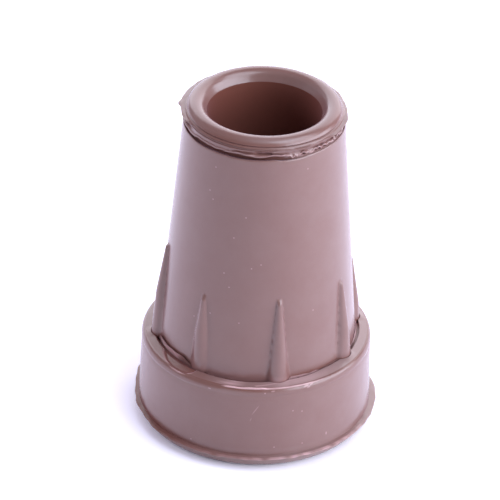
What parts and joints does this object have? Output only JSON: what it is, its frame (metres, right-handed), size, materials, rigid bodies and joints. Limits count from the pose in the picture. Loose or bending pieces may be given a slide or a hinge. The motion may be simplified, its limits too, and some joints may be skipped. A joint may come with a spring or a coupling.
{
  "type": "rubber cane tip",
  "caption": "Moulded rubber foot for a walking cane: blind socket in a flared barrel with spike ribs, wide foot and grooved sole.",
  "frame": {"origin": "centre of the sole, on the axis of the socket, at the floor", "axes": "+Z along the socket's axis, from the sole to the mouth; the front rib faces -Y"},
  "size_m": [0.0411, 0.0412, 0.0595],
  "materials": {
    "rubber": "satin moulded"
  },
  "bodies": {
    "root": {"rubber_tip": "rubber"}
  },
  "joints": []
}
